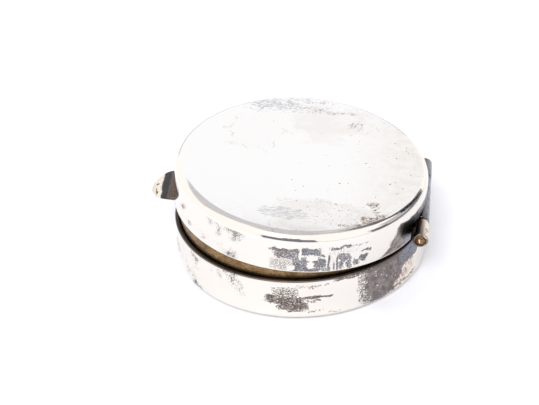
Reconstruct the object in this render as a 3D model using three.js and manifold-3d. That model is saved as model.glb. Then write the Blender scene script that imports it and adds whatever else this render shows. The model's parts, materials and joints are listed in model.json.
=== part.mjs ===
// Round pill box: a drawn base pan with a soldered inner collar, and a drawn lid pan that slips
// over the collar and swings on a straight tube hinge at the back. A half-moon thumb tab is
// soldered to the front of the lid.
//
// Millimetres, +Z up. The origin is the centre of the base's underside. The hinge is at +Y, the
// thumb tab at -Y. The lid stands slightly ajar.

import * as THREE from 'three';
import { mergeVertices } from 'three/addons/utils/BufferGeometryUtils.js';
import Module from 'manifold-3d';

// Pans
const BOX_RADIUS = 15.5;
const BOX_HEIGHT = 11.1;
const BASE_RIM_Z = 5.8;
const BASE_SHEET = 0.5;
const BASE_CORNER = 1.05;
const SEAM_GAP = 0.1;
const LID_SHEET = 0.42;
const LID_SHOULDER = 1.2;

// Inner collar that the lid slips over
const COLLAR_OUTER = 14.9;
const COLLAR_SHEET = 0.4;
const COLLAR_BOTTOM_Z = 3.4;
const COLLAR_TOP_Z = 7.8;
const COLLAR_LEAD = 0.15;

// Hinge: three knuckles on one pin, along X
const HINGE_Y = 15.05;
const HINGE_Z = 6.83;
const BARREL_HALF = 8.35;
const BARREL_SPLIT = 4.7;
const KNUCKLE_GAP = 0.3;
const KNUCKLE_RADIUS = 0.95;
const KNUCKLE_BORE = 0.72;
const KNUCKLE_CHAMFER = 0.14;
const PIN_RADIUS = 0.64;
const PIN_HALF = 8.5;
const PIN_DOME = 0.22;

// Room for the barrel in the lid's wall and in the collar
const LID_NOTCH_HALF = 7.1;
const COLLAR_NOTCH_HALF = 5.6;
const NOTCH_CLEARANCE = 0.32;

// Bearer strip inside the lid, over the lid's knuckle
const BEARER_SHEET = 0.5;
const BEARER_HEIGHT = 1.4;
const SOLDER_GAP = 0.08;

// Thumb tab: a half-disc that leaves the lid level and curls down towards its tip
const TAB_REACH = 2.8;
const TAB_RADIUS = 2.9;
const TAB_SHEET = 0.45;
const TAB_TOP_Z = 6.28;
const TAB_DROP = 0.86;

// Opening angle from closed, at rest
const AJAR_ANGLE = THREE.MathUtils.degToRad(5.1);

const ROUND_STEPS = 72;
const TUBE_STEPS = 24;
const CORNER_STEPS = 4;
const TAB_STEPS = 10;

const LID_EDGE_Z = BASE_RIM_Z + SEAM_GAP;
const LID_INNER = BOX_RADIUS - LID_SHEET;

const wasm = await Module();
wasm.setup();

// A closed geometry as a solid that can be joined and cut
function toSolid(geometry) {
  const bare = geometry.clone();
  bare.deleteAttribute('normal');
  bare.deleteAttribute('uv');
  const merged = mergeVertices(bare, 1e-4);
  return new wasm.Manifold(new wasm.Mesh({
    numProp: 3,
    vertProperties: new Float32Array(merged.attributes.position.array),
    triVerts: new Uint32Array(merged.index.array),
  }));
}

function toGeometry(solid) {
  const mesh = solid.getMesh();
  const geometry = new THREE.BufferGeometry();
  geometry.setAttribute('position', new THREE.BufferAttribute(mesh.vertProperties, 3));
  geometry.setIndex(new THREE.BufferAttribute(mesh.triVerts, 1));
  geometry.computeVertexNormals();
  return geometry;
}

function cut(geometry, tool) {
  return toGeometry(toSolid(geometry).subtract(toSolid(tool)));
}

// Points on an arc about (r, z), from one angle to another, in degrees from +r towards +z
function arc(r, z, radius, from, to) {
  const points = [];
  for (let i = 0; i <= CORNER_STEPS; i++) {
    const angle = THREE.MathUtils.degToRad(from + ((to - from) * i) / CORNER_STEPS);
    points.push(new THREE.Vector2(r + radius * Math.cos(angle), z + radius * Math.sin(angle)));
  }
  return points;
}

// A profile of radius and height turned about Z
function turnedAboutZ(profile, steps) {
  return new THREE.LatheGeometry(profile, steps).rotateX(Math.PI / 2);
}

// A profile of radius and length turned about X
function turnedAboutX(profile, steps) {
  return new THREE.LatheGeometry(profile, steps).rotateZ(-Math.PI / 2);
}

function block(xSize, yRange, zRange) {
  const [y0, y1] = yRange;
  const [z0, z1] = zRange;
  return new THREE.BoxGeometry(xSize, y1 - y0, z1 - z0).translate(0, (y0 + y1) / 2, (z0 + z1) / 2);
}

// Base: a shallow dish with a rounded lower corner
function basePanGeometry() {
  const inner = BOX_RADIUS - BASE_SHEET;
  const innerCorner = BASE_CORNER - BASE_SHEET;
  const profile = [
    new THREE.Vector2(0, 0),
    ...arc(BOX_RADIUS - BASE_CORNER, BASE_CORNER, BASE_CORNER, -90, 0),
    new THREE.Vector2(BOX_RADIUS, BASE_RIM_Z),
    new THREE.Vector2(inner, BASE_RIM_Z),
    ...arc(inner - innerCorner, BASE_CORNER, innerCorner, 0, -90),
    new THREE.Vector2(0, BASE_SHEET),
  ];
  return turnedAboutZ(profile, ROUND_STEPS);
}

// Collar: a thin ring inside the base's wall, standing above the rim, open behind for the hinge
function collarGeometry() {
  const inner = COLLAR_OUTER - COLLAR_SHEET;
  const profile = [
    new THREE.Vector2(inner, COLLAR_BOTTOM_Z),
    new THREE.Vector2(COLLAR_OUTER, COLLAR_BOTTOM_Z),
    new THREE.Vector2(COLLAR_OUTER, COLLAR_TOP_Z - COLLAR_LEAD),
    new THREE.Vector2(COLLAR_OUTER - COLLAR_LEAD, COLLAR_TOP_Z),
    new THREE.Vector2(inner, COLLAR_TOP_Z),
    new THREE.Vector2(inner, COLLAR_BOTTOM_Z),
  ];
  const room = block(2 * COLLAR_NOTCH_HALF, [0, 2 * BOX_RADIUS], [BASE_RIM_Z, BOX_HEIGHT]);
  return cut(turnedAboutZ(profile, ROUND_STEPS), room);
}

// Lid: a shallow dish turned over, with a rounded shoulder, cut away around the barrel
function lidPanGeometry() {
  const innerShoulder = LID_SHOULDER - LID_SHEET;
  const shoulderZ = BOX_HEIGHT - LID_SHOULDER;
  const profile = [
    new THREE.Vector2(0, BOX_HEIGHT - LID_SHEET),
    ...arc(LID_INNER - innerShoulder, shoulderZ, innerShoulder, 90, 0),
    new THREE.Vector2(LID_INNER, LID_EDGE_Z),
    new THREE.Vector2(BOX_RADIUS, LID_EDGE_Z),
    ...arc(BOX_RADIUS - LID_SHOULDER, shoulderZ, LID_SHOULDER, 0, 90),
    new THREE.Vector2(0, BOX_HEIGHT),
  ];
  const roomTop = HINGE_Z + KNUCKLE_RADIUS + NOTCH_CLEARANCE;
  const room = block(2 * LID_NOTCH_HALF, [0, 2 * BOX_RADIUS], [0, roomTop]);
  return cut(turnedAboutZ(profile, ROUND_STEPS), room);
}

// Knuckle: a short tube about X with softened ends, from x0 to x1
function knuckleGeometry(x0, x1) {
  const soft = KNUCKLE_CHAMFER;
  const profile = [
    new THREE.Vector2(KNUCKLE_BORE, x0),
    new THREE.Vector2(KNUCKLE_RADIUS - soft, x0),
    new THREE.Vector2(KNUCKLE_RADIUS, x0 + soft),
    new THREE.Vector2(KNUCKLE_RADIUS, x1 - soft),
    new THREE.Vector2(KNUCKLE_RADIUS - soft, x1),
    new THREE.Vector2(KNUCKLE_BORE, x1),
    new THREE.Vector2(KNUCKLE_BORE, x0),
  ];
  return turnedAboutX(profile, TUBE_STEPS);
}

// Pin: a rod about X, its ends hammered into low domes that fill the barrel's ends
function pinGeometry() {
  const profile = [
    new THREE.Vector2(0, -PIN_HALF),
    new THREE.Vector2(PIN_RADIUS / 2, PIN_DOME / 3 - PIN_HALF),
    new THREE.Vector2(PIN_RADIUS, PIN_DOME - PIN_HALF),
    new THREE.Vector2(PIN_RADIUS, PIN_HALF - PIN_DOME),
    new THREE.Vector2(PIN_RADIUS / 2, PIN_HALF - PIN_DOME / 3),
    new THREE.Vector2(0, PIN_HALF),
  ];
  return turnedAboutX(profile, TUBE_STEPS);
}

// Bearer: a curved strip inside the lid's back wall, just above the lid's knuckle
function bearerGeometry() {
  const outer = LID_INNER - SOLDER_GAP;
  const inner = outer - BEARER_SHEET;
  const bottom = HINGE_Z + KNUCKLE_RADIUS + SOLDER_GAP;
  const halfAngle = Math.asin((BARREL_SPLIT - KNUCKLE_GAP) / outer);
  const outline = new THREE.Shape();
  outline.absarc(0, 0, outer, Math.PI / 2 - halfAngle, Math.PI / 2 + halfAngle, false);
  outline.absarc(0, 0, inner, Math.PI / 2 + halfAngle, Math.PI / 2 - halfAngle, true);
  const options = { depth: BEARER_HEIGHT, bevelEnabled: false, curveSegments: CORNER_STEPS };
  return new THREE.ExtrudeGeometry(outline, options).translate(0, 0, bottom);
}

// Plan of the thumb tab: a half-disc whose back edge follows the lid's wall
function tabOutline() {
  const wall = BOX_RADIUS + SOLDER_GAP;
  const centre = BOX_RADIUS + TAB_REACH - TAB_RADIUS;
  // Where the tab's circle meets the wall, as angles about the two centres
  const along = (centre ** 2 + wall ** 2 - TAB_RADIUS ** 2) / (2 * centre);
  const across = Math.sqrt(wall ** 2 - along ** 2);
  const tabHalf = Math.atan2(across, along - centre);
  const wallHalf = Math.atan2(across, along);
  const front = -Math.PI / 2;
  const outline = new THREE.Path();
  outline.absarc(0, -centre, TAB_RADIUS, front - tabHalf, front + tabHalf, false);
  outline.absarc(0, 0, wall, front + wallHalf, front - wallHalf, true);
  return outline;
}

// Section of the thumb tab across its width: a sheet that curls down, as points (y, z)
function tabSection() {
  const upper = [];
  const lower = [];
  for (let i = -2; i <= TAB_STEPS + 2; i++) {
    const out = (TAB_REACH * i) / TAB_STEPS;
    const reach = Math.max(out, 0) / TAB_REACH;
    const slope = (-2 * TAB_DROP * reach) / TAB_REACH;
    const thick = TAB_SHEET / Math.hypot(1, slope);
    const y = -BOX_RADIUS - out;
    const z = TAB_TOP_Z - TAB_DROP * reach ** 2;
    upper.push(new THREE.Vector2(y, z));
    lower.unshift(new THREE.Vector2(y - slope * thick, z - thick));
  }
  return new THREE.Shape([...upper, ...lower]);
}

// Thumb tab: the curled strip, with everything outside the tab's plan cut away
function tabGeometry() {
  const width = 4 * TAB_RADIUS;
  const strip = new THREE.ExtrudeGeometry(tabSection(), { depth: width, bevelEnabled: false });
  strip.rotateX(Math.PI / 2).rotateZ(Math.PI / 2).translate(-width / 2, 0, 0);
  const sheet = new THREE.Shape();
  sheet.absarc(0, 0, 2 * BOX_RADIUS, 0, 2 * Math.PI, false);
  sheet.holes.push(tabOutline());
  const options = { depth: BOX_HEIGHT, bevelEnabled: false, curveSegments: 16 };
  return cut(strip, new THREE.ExtrudeGeometry(sheet, options));
}

const silver = { color: 0xdcdad6, roughness: 0.16, metalness: 1 };
const wornSilver = { color: 0xcfc8bd, roughness: 0.3, metalness: 1 };
const giltSilver = { color: 0x9a7b4a, roughness: 0.35, metalness: 1 };
const brass = { color: 0xb07a3e, roughness: 0.4, metalness: 1 };

function piece(name, geometry, look) {
  const mesh = new THREE.Mesh(geometry, new THREE.MeshStandardMaterial(look));
  mesh.name = name;
  return mesh;
}

// A piece made about the hinge's axis, moved out to it
function hingePiece(name, geometry, look) {
  const mesh = piece(name, geometry, look);
  mesh.position.set(0, HINGE_Y, HINGE_Z);
  return mesh;
}

function baseGroup() {
  const group = new THREE.Group();
  const near = BARREL_SPLIT + KNUCKLE_GAP / 2;
  group.add(piece('base_pan', basePanGeometry(), silver));
  group.add(piece('base_collar', collarGeometry(), giltSilver));
  group.add(hingePiece('base_knuckle_left', knuckleGeometry(-BARREL_HALF, -near), wornSilver));
  group.add(hingePiece('base_knuckle_right', knuckleGeometry(near, BARREL_HALF), wornSilver));
  group.add(hingePiece('hinge_pin', pinGeometry(), brass));
  return group;
}

// The lid is drawn closed, then swung about the hinge's axis
function lidGroup() {
  const half = BARREL_SPLIT - KNUCKLE_GAP / 2;
  const closed = new THREE.Group();
  closed.position.set(0, -HINGE_Y, -HINGE_Z);
  closed.add(piece('lid_pan', lidPanGeometry(), silver));
  closed.add(piece('lid_hinge_bearer', bearerGeometry(), silver));
  closed.add(hingePiece('lid_knuckle', knuckleGeometry(-half, half), wornSilver));
  closed.add(piece('thumb_tab', tabGeometry(), wornSilver));
  const swing = new THREE.Group();
  swing.position.set(0, HINGE_Y, HINGE_Z);
  swing.rotation.x = -AJAR_ANGLE;
  swing.add(closed);
  return swing;
}

const pillBox = new THREE.Group();
pillBox.name = 'pill_box';
pillBox.add(baseGroup(), lidGroup());

export default pillBox;
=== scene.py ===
"""Pill box: the looks of a round, worn silver box with its lid slightly ajar.

Everything is in metres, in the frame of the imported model: +Z up from the base's underside, the
hinge at +Y and the thumb tab at -Y. The lid's pieces are built closed and then turned to rest.
Azimuths are degrees about +Z from +X, which is the side that faces the camera.
"""

import math

import bmesh
import bpy
from mathutils import Matrix, Vector
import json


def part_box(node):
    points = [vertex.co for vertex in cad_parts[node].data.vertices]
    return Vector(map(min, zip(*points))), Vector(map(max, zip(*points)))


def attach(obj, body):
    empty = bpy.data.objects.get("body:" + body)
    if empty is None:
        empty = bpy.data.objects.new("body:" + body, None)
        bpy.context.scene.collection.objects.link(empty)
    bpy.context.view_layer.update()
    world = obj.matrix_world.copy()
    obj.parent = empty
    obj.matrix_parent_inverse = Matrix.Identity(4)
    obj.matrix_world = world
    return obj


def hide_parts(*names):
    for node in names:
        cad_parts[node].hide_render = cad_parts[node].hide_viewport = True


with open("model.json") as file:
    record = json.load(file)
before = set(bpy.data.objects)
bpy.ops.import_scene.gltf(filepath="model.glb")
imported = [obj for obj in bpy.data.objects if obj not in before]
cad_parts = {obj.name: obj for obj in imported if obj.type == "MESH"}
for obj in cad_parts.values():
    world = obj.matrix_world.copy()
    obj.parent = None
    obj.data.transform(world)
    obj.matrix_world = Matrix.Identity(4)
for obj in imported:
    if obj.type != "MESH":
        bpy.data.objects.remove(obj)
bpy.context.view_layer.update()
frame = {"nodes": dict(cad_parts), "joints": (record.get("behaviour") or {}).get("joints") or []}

MM = 0.001

# ---------------------------------------------------------------- sizes taken from the frame

_, BASE_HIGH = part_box("base_pan")
COLLAR_LOW, COLLAR_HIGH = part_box("base_collar")
KNUCKLE_LOW, KNUCKLE_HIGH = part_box("base_knuckle_right")
PIN_LOW, PIN_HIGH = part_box("hinge_pin")

JOINT = frame["joints"][0]
HINGE = Vector(JOINT["pos_m"])
AJAR = math.radians(-JOINT["range_deg"][0])
LID_TURN = (
    Matrix.Translation(HINGE) @ Matrix.Rotation(-AJAR, 4, "X") @ Matrix.Translation(-HINGE)
)


def closed_box(node):
    """Lowest and highest corner of one of the lid's nodes, with the lid closed."""
    back = LID_TURN.inverted()
    corners = [back @ v.co for v in frame["nodes"][node].data.vertices]
    low = Vector(min(c[i] for c in corners) for i in range(3))
    high = Vector(max(c[i] for c in corners) for i in range(3))
    return low, high


LID_LOW, LID_HIGH = closed_box("lid_pan")
LID_KNUCKLE_LOW, LID_KNUCKLE_HIGH = closed_box("lid_knuckle")
TAB_LOW, TAB_HIGH = closed_box("thumb_tab")

RADIUS = BASE_HIGH.x
RIM_Z = BASE_HIGH.z
LID_EDGE_Z = LID_LOW.z
LID_TOP_Z = LID_HIGH.z

# ---------------------------------------------------------------- sizes of the sheet metal

# Pans and collar, and the room for the barrel in the lid's wall and in the collar
BASE_SHEET = 0.5 * MM
BASE_CORNER = 1.05 * MM
LID_SHEET = 0.42 * MM
LID_SHOULDER = 1.2 * MM
COLLAR_SHEET = 0.4 * MM
EDGE_SOFTNESS = 0.09 * MM
LID_NOTCH_HALF = 6.9 * MM
LID_NOTCH_Z = HINGE.z + 1.15 * MM
COLLAR_NOTCH_HALF = 5.6 * MM

# Hinge
KNUCKLE_RADIUS = (KNUCKLE_HIGH.z - KNUCKLE_LOW.z) / 2
KNUCKLE_BORE = 0.7 * MM
KNUCKLE_LIP = 0.21 * MM
PIN_RADIUS = (PIN_HIGH.z - PIN_LOW.z) / 2
PIN_DOME = 0.22 * MM

# Thumb tab: its arc's centre is on the Y axis, this far from the box's, and its root is in the
# middle of the lid's wall. At its sloping tip the sheet itself takes up TAB_TIP of its height.
TAB_RADIUS = (TAB_HIGH.x - TAB_LOW.x) / 2
TAB_REACH = -TAB_LOW.y - RADIUS
TAB_CENTRE = RADIUS + TAB_REACH - TAB_RADIUS
TAB_ROOT = RADIUS - LID_SHEET / 2
TAB_SHEET = 0.45 * MM
TAB_TIP = 0.39 * MM
TAB_DROP = TAB_HIGH.z - TAB_LOW.z - TAB_TIP
TAB_EDGE = 0.14 * MM

# How finely the meshes are divided
COLUMNS = 288
TUBE_COLUMNS = 64
ARC_STEPS = 12
EDGE_STEPS = 3
DOME_STEPS = 6
TAB_ROWS = 24
TAB_ACROSS = 48
TAB_EDGE_STEPS = 4
WELD_DISTANCE = 1e-7
SLIVER_LENGTH = 1e-8
SHARP_ANGLE = math.radians(38)
TAB_EDGE_ANGLE = math.radians(60)


# ---------------------------------------------------------------- turned meshes


def arc(r, z, radius, start, end, steps=ARC_STEPS):
    """Points (r, z) on an arc, between two angles in degrees from +r towards +z."""
    points = []
    for i in range(steps + 1):
        angle = math.radians(start + (end - start) * i / steps)
        points.append((r + radius * math.cos(angle), z + radius * math.sin(angle)))
    return points


def soft_edge(inner, outer, z, facing):
    """A rounded sheet edge from the inner radius to the outer, facing up (1) or down (-1)."""
    soft = EDGE_SOFTNESS
    centre = z - facing * soft
    first = arc(inner + soft, centre, soft, 180, 180 - facing * 90, EDGE_STEPS)
    second = arc(outer - soft, centre, soft, facing * 90, 0, EDGE_STEPS)
    return first + second


def columns(notch_half_angle=0.0, count=COLUMNS):
    """(azimuth, in the notch) for each column; a notch is centred on the hinge's side."""
    turned = [(math.tau * i / count, False) for i in range(count)]
    if not notch_half_angle:
        return turned
    start = math.pi / 2 - notch_half_angle
    end = math.pi / 2 + notch_half_angle
    listed = [(angle, start < angle < end) for angle, _ in turned]
    listed += [(start, False), (start, True), (end, True), (end, False)]
    order = {(start, False): 0, (start, True): 1, (end, True): 0, (end, False): 1}
    return sorted(listed, key=lambda c: (c[0], order.get(c, 0)))


def mesh_object(name, mesh, material):
    """Links a mesh to the scene, shaded smooth but for its sharp edges."""
    mesh.shade_smooth()
    mesh.set_sharp_from_angle(angle=SHARP_ANGLE)
    mesh.materials.append(material)
    piece = bpy.data.objects.new(name, mesh)
    bpy.context.scene.collection.objects.link(piece)
    return piece


def finished_mesh(name, bm):
    """Welds what coincides, points the faces out and gives the mesh."""
    bmesh.ops.remove_doubles(bm, verts=bm.verts, dist=WELD_DISTANCE)
    bmesh.ops.dissolve_degenerate(bm, edges=bm.edges, dist=SLIVER_LENGTH)
    bmesh.ops.recalc_face_normals(bm, faces=bm.faces)
    mesh = bpy.data.meshes.new(name)
    bm.to_mesh(mesh)
    bm.free()
    return mesh


def turned_mesh(name, profile_of, listed, closed):
    """A profile of (r, z) turned about Z. A closed profile meets itself; an open one ends on Z."""
    bm = bmesh.new()
    rings = []
    for angle, in_notch in listed:
        ring = []
        for r, z in profile_of(in_notch):
            ring.append(bm.verts.new((r * math.cos(angle), r * math.sin(angle), z)))
        rings.append(ring)
    count = len(rings[0])
    spans = range(count) if closed else range(count - 1)
    for here, there in zip(rings, rings[1:] + rings[:1]):
        for i in spans:
            j = (i + 1) % count
            bm.faces.new((here[i], here[j], there[j], there[i]))
    return finished_mesh(name, bm)


# ---------------------------------------------------------------- node helper


def rgb(red, green, blue):
    """A colour given in screen (sRGB) values from 0 to 255, as the linear ones of the nodes."""
    linear = []
    for value in (red, green, blue):
        v = value / 255
        linear.append(v / 12.92 if v <= 0.04045 else ((v + 0.055) / 1.055) ** 2.4)
    return (*linear, 1.0)


# A spot is drawn by the sum of the fourth powers of the distances over its half sizes: it fades
# out at the first value and is full at the second
SPOT_FADE = (3.6, 0.15)
# Most of a noise's values lie between these
NOISE_RANGE = (0.3, 0.7)
# Specks: how softly they end, and the densities below which they thin out to none
SPECK_FADE = (-0.2, 0.24)
SPECK_THINNING = (0.02, 0.16)
# How wide the soft edge of a pit is
PIT_EDGE = 0.05


class Shader:
    """A metal's node tree, with short calls for the nodes that the materials share.

    Places are in millimetres. On the lid they are those of the closed lid.
    """

    def __init__(self, name, on_lid=False):
        self.material = bpy.data.materials.new(name)
        self.material.use_nodes = True
        self.tree = self.material.node_tree
        self.surface = self.tree.nodes["Principled BSDF"]
        self.surface.inputs["Metallic"].default_value = 1.0
        position = self.add("ShaderNodeTexCoord").outputs["Object"]
        if on_lid:
            position = self.closed(position)
        scaled = self.add("ShaderNodeVectorMath", operation="SCALE")
        self.put(scaled.inputs[0], position)
        scaled.inputs["Scale"].default_value = 1 / MM
        self.place = scaled.outputs[0]
        split = self.add("ShaderNodeSeparateXYZ")
        self.put(split.inputs[0], self.place)
        self.x, self.y, self.z = split.outputs
        turn = self.math("ARCTAN2", self.y, self.x)
        self.azimuth = self.math("MULTIPLY", turn, math.degrees(1))
        self.radius = self.math("SQRT", self.math("ADD", self.square(self.x), self.square(self.y)))
        self.wall = self.joined(self.azimuth, self.z)

    def closed(self, position):
        """Turns a position on the resting lid back to where it is on the closed lid."""
        node = self.add("ShaderNodeMapping", vector_type="POINT")
        self.put(node.inputs["Vector"], position)
        node.inputs["Rotation"].default_value = (AJAR, 0, 0)
        node.inputs["Location"].default_value = LID_TURN.inverted().translation
        return node.outputs[0]

    def add(self, kind, **settings):
        node = self.tree.nodes.new(kind)
        for key, value in settings.items():
            setattr(node, key, value)
        return node

    def put(self, socket, value):
        if isinstance(value, bpy.types.NodeSocket):
            self.tree.links.new(value, socket)
        else:
            socket.default_value = value

    def math(self, operation, a, b=0.0):
        node = self.add("ShaderNodeMath", operation=operation)
        self.put(node.inputs[0], a)
        self.put(node.inputs[1], b)
        return node.outputs[0]

    def vector(self, operation, *values):
        node = self.add("ShaderNodeVectorMath", operation=operation)
        for socket, value in zip(node.inputs, values):
            self.put(socket, value)
        return node

    def square(self, a):
        return self.math("MULTIPLY", a, a)

    def times(self, *values):
        total = values[0]
        for value in values[1:]:
            total = self.math("MULTIPLY", total, value)
        return total

    def most(self, *values):
        total = values[0]
        for value in values[1:]:
            total = self.math("MAXIMUM", total, value)
        return total

    def without(self, value, taken):
        """What is left of a mask where another mask is taken away."""
        return self.math("MULTIPLY", value, self.math("SUBTRACT", 1.0, taken))

    def ramp(self, value, start, end, low=0.0, high=1.0):
        """Smoothly from low at start to high at end."""
        node = self.add("ShaderNodeMapRange", interpolation_type="SMOOTHSTEP")
        for socket, v in zip(node.inputs, (value, start, end, low, high)):
            self.put(socket, v)
        return node.outputs[0]

    def spread(self, noise, low=0.0, high=1.0):
        """A noise, spread so that it runs from low to high."""
        return self.ramp(noise, *NOISE_RANGE, low, high)

    def joined(self, u, v):
        """Two values as a flat place to draw on."""
        node = self.add("ShaderNodeCombineXYZ")
        self.put(node.inputs[0], u)
        self.put(node.inputs[1], v)
        return node.outputs[0]

    def stretched(self, x, y, z):
        """The place, scaled along each axis, so that a noise runs long where the scale is low."""
        return self.vector("MULTIPLY", self.place, (x, y, z)).outputs[0]

    def along_wall(self, across, up):
        """Arc length round the wall and height, each scaled, for streaks on the wall."""
        arc_length = self.times(self.azimuth, math.radians(across) * RADIUS / MM)
        return self.joined(arc_length, self.times(self.z, up))

    def noise(self, scale, seed, detail=3.0, roughness=0.6, vector=None):
        """A noise at the place, or at another vector. Each seed gives one of its own."""
        node = self.add("ShaderNodeTexNoise", noise_dimensions="4D")
        self.put(node.inputs["Vector"], vector or self.place)
        node.inputs["W"].default_value = seed
        node.inputs["Scale"].default_value = scale
        node.inputs["Detail"].default_value = detail
        node.inputs["Roughness"].default_value = roughness
        return node.outputs["Fac"]

    def shifted(self, vector, scale, seed, reach):
        """A place moved about by a noise, so that what is drawn there has a ragged outline."""
        node = self.add("ShaderNodeTexNoise", noise_dimensions="4D")
        self.put(node.inputs["Vector"], self.place)
        node.inputs["W"].default_value = seed
        node.inputs["Scale"].default_value = scale
        node.inputs["Detail"].default_value = 4.0
        centred = self.vector("SUBTRACT", node.outputs["Color"], (0.5, 0.5, 0.5)).outputs[0]
        moved = self.vector("MULTIPLY", centred, (*reach, 0.0)).outputs[0]
        return self.vector("ADD", vector, moved).outputs[0]

    def spots(self, vector, listed):
        """How thickly rounded rectangles cover a place: (centre, half size, strength) each."""
        covered = []
        for centre, half, strength in listed:
            scale = (1 / half[0], 1 / half[1], 0.0)
            offset = (-centre[0] / half[0], -centre[1] / half[1], 0.0)
            local = self.vector("MULTIPLY_ADD", vector, scale, offset).outputs[0]
            squared = self.vector("MULTIPLY", local, local).outputs[0]
            reach = self.vector("DOT_PRODUCT", squared, squared).outputs["Value"]
            covered.append(self.ramp(reach, *SPOT_FADE, 0.0, strength))
        return self.most(*covered)

    def stippled(self, density, grain):
        """Turns a density into fine specks: none at 0, solid at 1."""
        even = self.spread(grain)
        dots = self.ramp(self.math("SUBTRACT", density, even), *SPECK_FADE)
        return self.math("MULTIPLY", dots, self.ramp(density, *SPECK_THINNING))

    def pits(self, vector, scale, seed, size, share):
        """Small round dots, of radii up to the given size, in a share of a grid's cells."""
        node = self.add("ShaderNodeTexVoronoi", voronoi_dimensions="2D")
        moved = self.vector("ADD", vector, (seed, seed, 0.0)).outputs[0]
        self.put(node.inputs["Vector"], moved)
        node.inputs["Scale"].default_value = scale
        chance = self.add("ShaderNodeSeparateColor")
        self.put(chance.inputs[0], node.outputs["Color"])
        reach = self.times(chance.outputs[0], size * scale)
        edge = self.math("SUBTRACT", node.outputs["Distance"], reach)
        dot = self.ramp(edge, PIT_EDGE * scale, 0.0)
        return self.math("MULTIPLY", dot, self.math("LESS_THAN", chance.outputs[1], share))

    def mix(self, factor, a, b):
        """Colour a where the factor is 0, and b where it is 1."""
        node = self.add("ShaderNodeMix", data_type="RGBA")
        self.put(node.inputs["Factor"], factor)
        self.put(node.inputs[6], a)
        self.put(node.inputs[7], b)
        return node.outputs[2]

    def blend(self, factor, a, b):
        """Value a where the factor is 0, and b where it is 1."""
        node = self.add("ShaderNodeMix", data_type="FLOAT")
        self.put(node.inputs["Factor"], factor)
        self.put(node.inputs[2], a)
        self.put(node.inputs[3], b)
        return node.outputs[0]

    def bump(self, height, distance):
        node = self.add("ShaderNodeBump")
        node.inputs["Distance"].default_value = distance
        self.put(node.inputs["Height"], height)
        self.put(self.surface.inputs["Normal"], node.outputs[0])

    def finish(self, colour, roughness):
        self.put(self.surface.inputs["Base Color"], colour)
        self.put(self.surface.inputs["Roughness"], roughness)
        return self.material


# ---------------------------------------------------------------- materials

# Clean metal, and the painted highlight on the brass pin
TOP_SILVER = rgb(233, 232, 232)
WALL_SILVER = rgb(236, 231, 224)
WARM_SILVER = rgb(219, 213, 207)
INNER_SILVER = rgb(214, 204, 188)
BASE_CREAM = rgb(232, 216, 202)
KNUCKLE_CREAM = rgb(238, 224, 212)
KNUCKLE_GREY = rgb(150, 151, 160)
KNUCKLE_SLATE = rgb(132, 134, 146)
BEARER_SILVER = rgb(206, 196, 180)
GOLD = rgb(156, 126, 88)
DEEP_GOLD = rgb(112, 88, 60)
BRASS = rgb(160, 122, 88)
BRASS_GLINT = rgb(250, 216, 176)

# Single tones of tarnish and wear; some of them also serve as painted shade and painted reflection
GREY_TARNISH = rgb(134, 136, 143)
BLUE_TARNISH = rgb(132, 134, 146)
BLACK_TARNISH_AND_SHADE = rgb(76, 76, 82)
CREASE_DARK_REFLECTION = rgb(92, 95, 100)
STAIN = rgb(200, 190, 180)
STAIN_EDGE = rgb(176, 156, 138)
SPECK = rgb(104, 84, 70)
RIM_BROWN = rgb(88, 77, 70)
UNDER_RIM = rgb(92, 84, 82)
GILT_GRAIN = rgb(62, 48, 36)
GILT_MAUVE = rgb(92, 78, 76)
GILT_SHADE = rgb(36, 28, 21)
KNUCKLE_BROWN = rgb(104, 92, 84)
LID_KNUCKLE_BROWN = rgb(84, 80, 80)
BEARER_BROWN = rgb(140, 128, 116)
TAB_BLACK = rgb(62, 61, 64)
TAB_MARK = rgb(92, 78, 66)
BRASS_GRAIN = rgb(84, 60, 46)
BRASS_EDGE = rgb(96, 76, 60)

# Light and dark tones of the tarnish and of the thumb tab, which vary between the two
LID_BLUISH = (rgb(148, 146, 150), rgb(88, 87, 91))
LID_BROWNISH = (rgb(142, 132, 125), rgb(86, 79, 75))
HINGE_FRONT = (rgb(166, 154, 147), rgb(92, 84, 82))
HINGE_UMBER = (rgb(160, 138, 126), rgb(58, 50, 50))
HINGE_BLUISH = (rgb(158, 158, 170), rgb(104, 104, 114))
BASE_SPECKLED = (rgb(142, 130, 122), rgb(86, 77, 72))
BASE_SMOOTH = (rgb(154, 145, 141), rgb(98, 91, 90))
BASE_SLATE = (rgb(140, 144, 156), rgb(104, 106, 118))
COLLAR_CRUST = (rgb(226, 196, 182), rgb(104, 88, 82))
TAB_INNER = (rgb(118, 103, 92), rgb(84, 76, 72))
TAB_CREAM = (rgb(232, 220, 206), rgb(150, 128, 108))

# Places in millimetres, each as where a change starts and where it is complete
LID_WALL_TOP = (10.1, 9.8)
LID_FLAT = (10.9, 11.06)
# The lowest band of the lid's wall, kept clean of tarnish as a painted highlight along its edge
LID_HIGHLIGHT_EDGE = (6.12, 5.98)
LID_INSIDE = (15.16, 15.1)
LID_CEILING = (10.76, 10.7)
OUTER_FACE = (15.2, 15.35)
BASE_INSIDE = (15.25, 15.0)
BASE_RIM = (5.56, 5.68)
BASE_WELL = (0.3, 0.4)
BASE_BOTTOM = (0.08, 0.02)
SLATE_HEIGHTS = (3.4, 4.6)
UNDER_RIM_HEIGHTS = (4.8, 5.7)
GILT_SHADE_HEIGHTS = (6.7, 5.9)
TAB_BLACK_FROM = (17.42, 17.25)
TAB_BROWN_FROM = (16.62, 16.35)
PIN_RIM = (0.4, 0.62)
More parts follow.
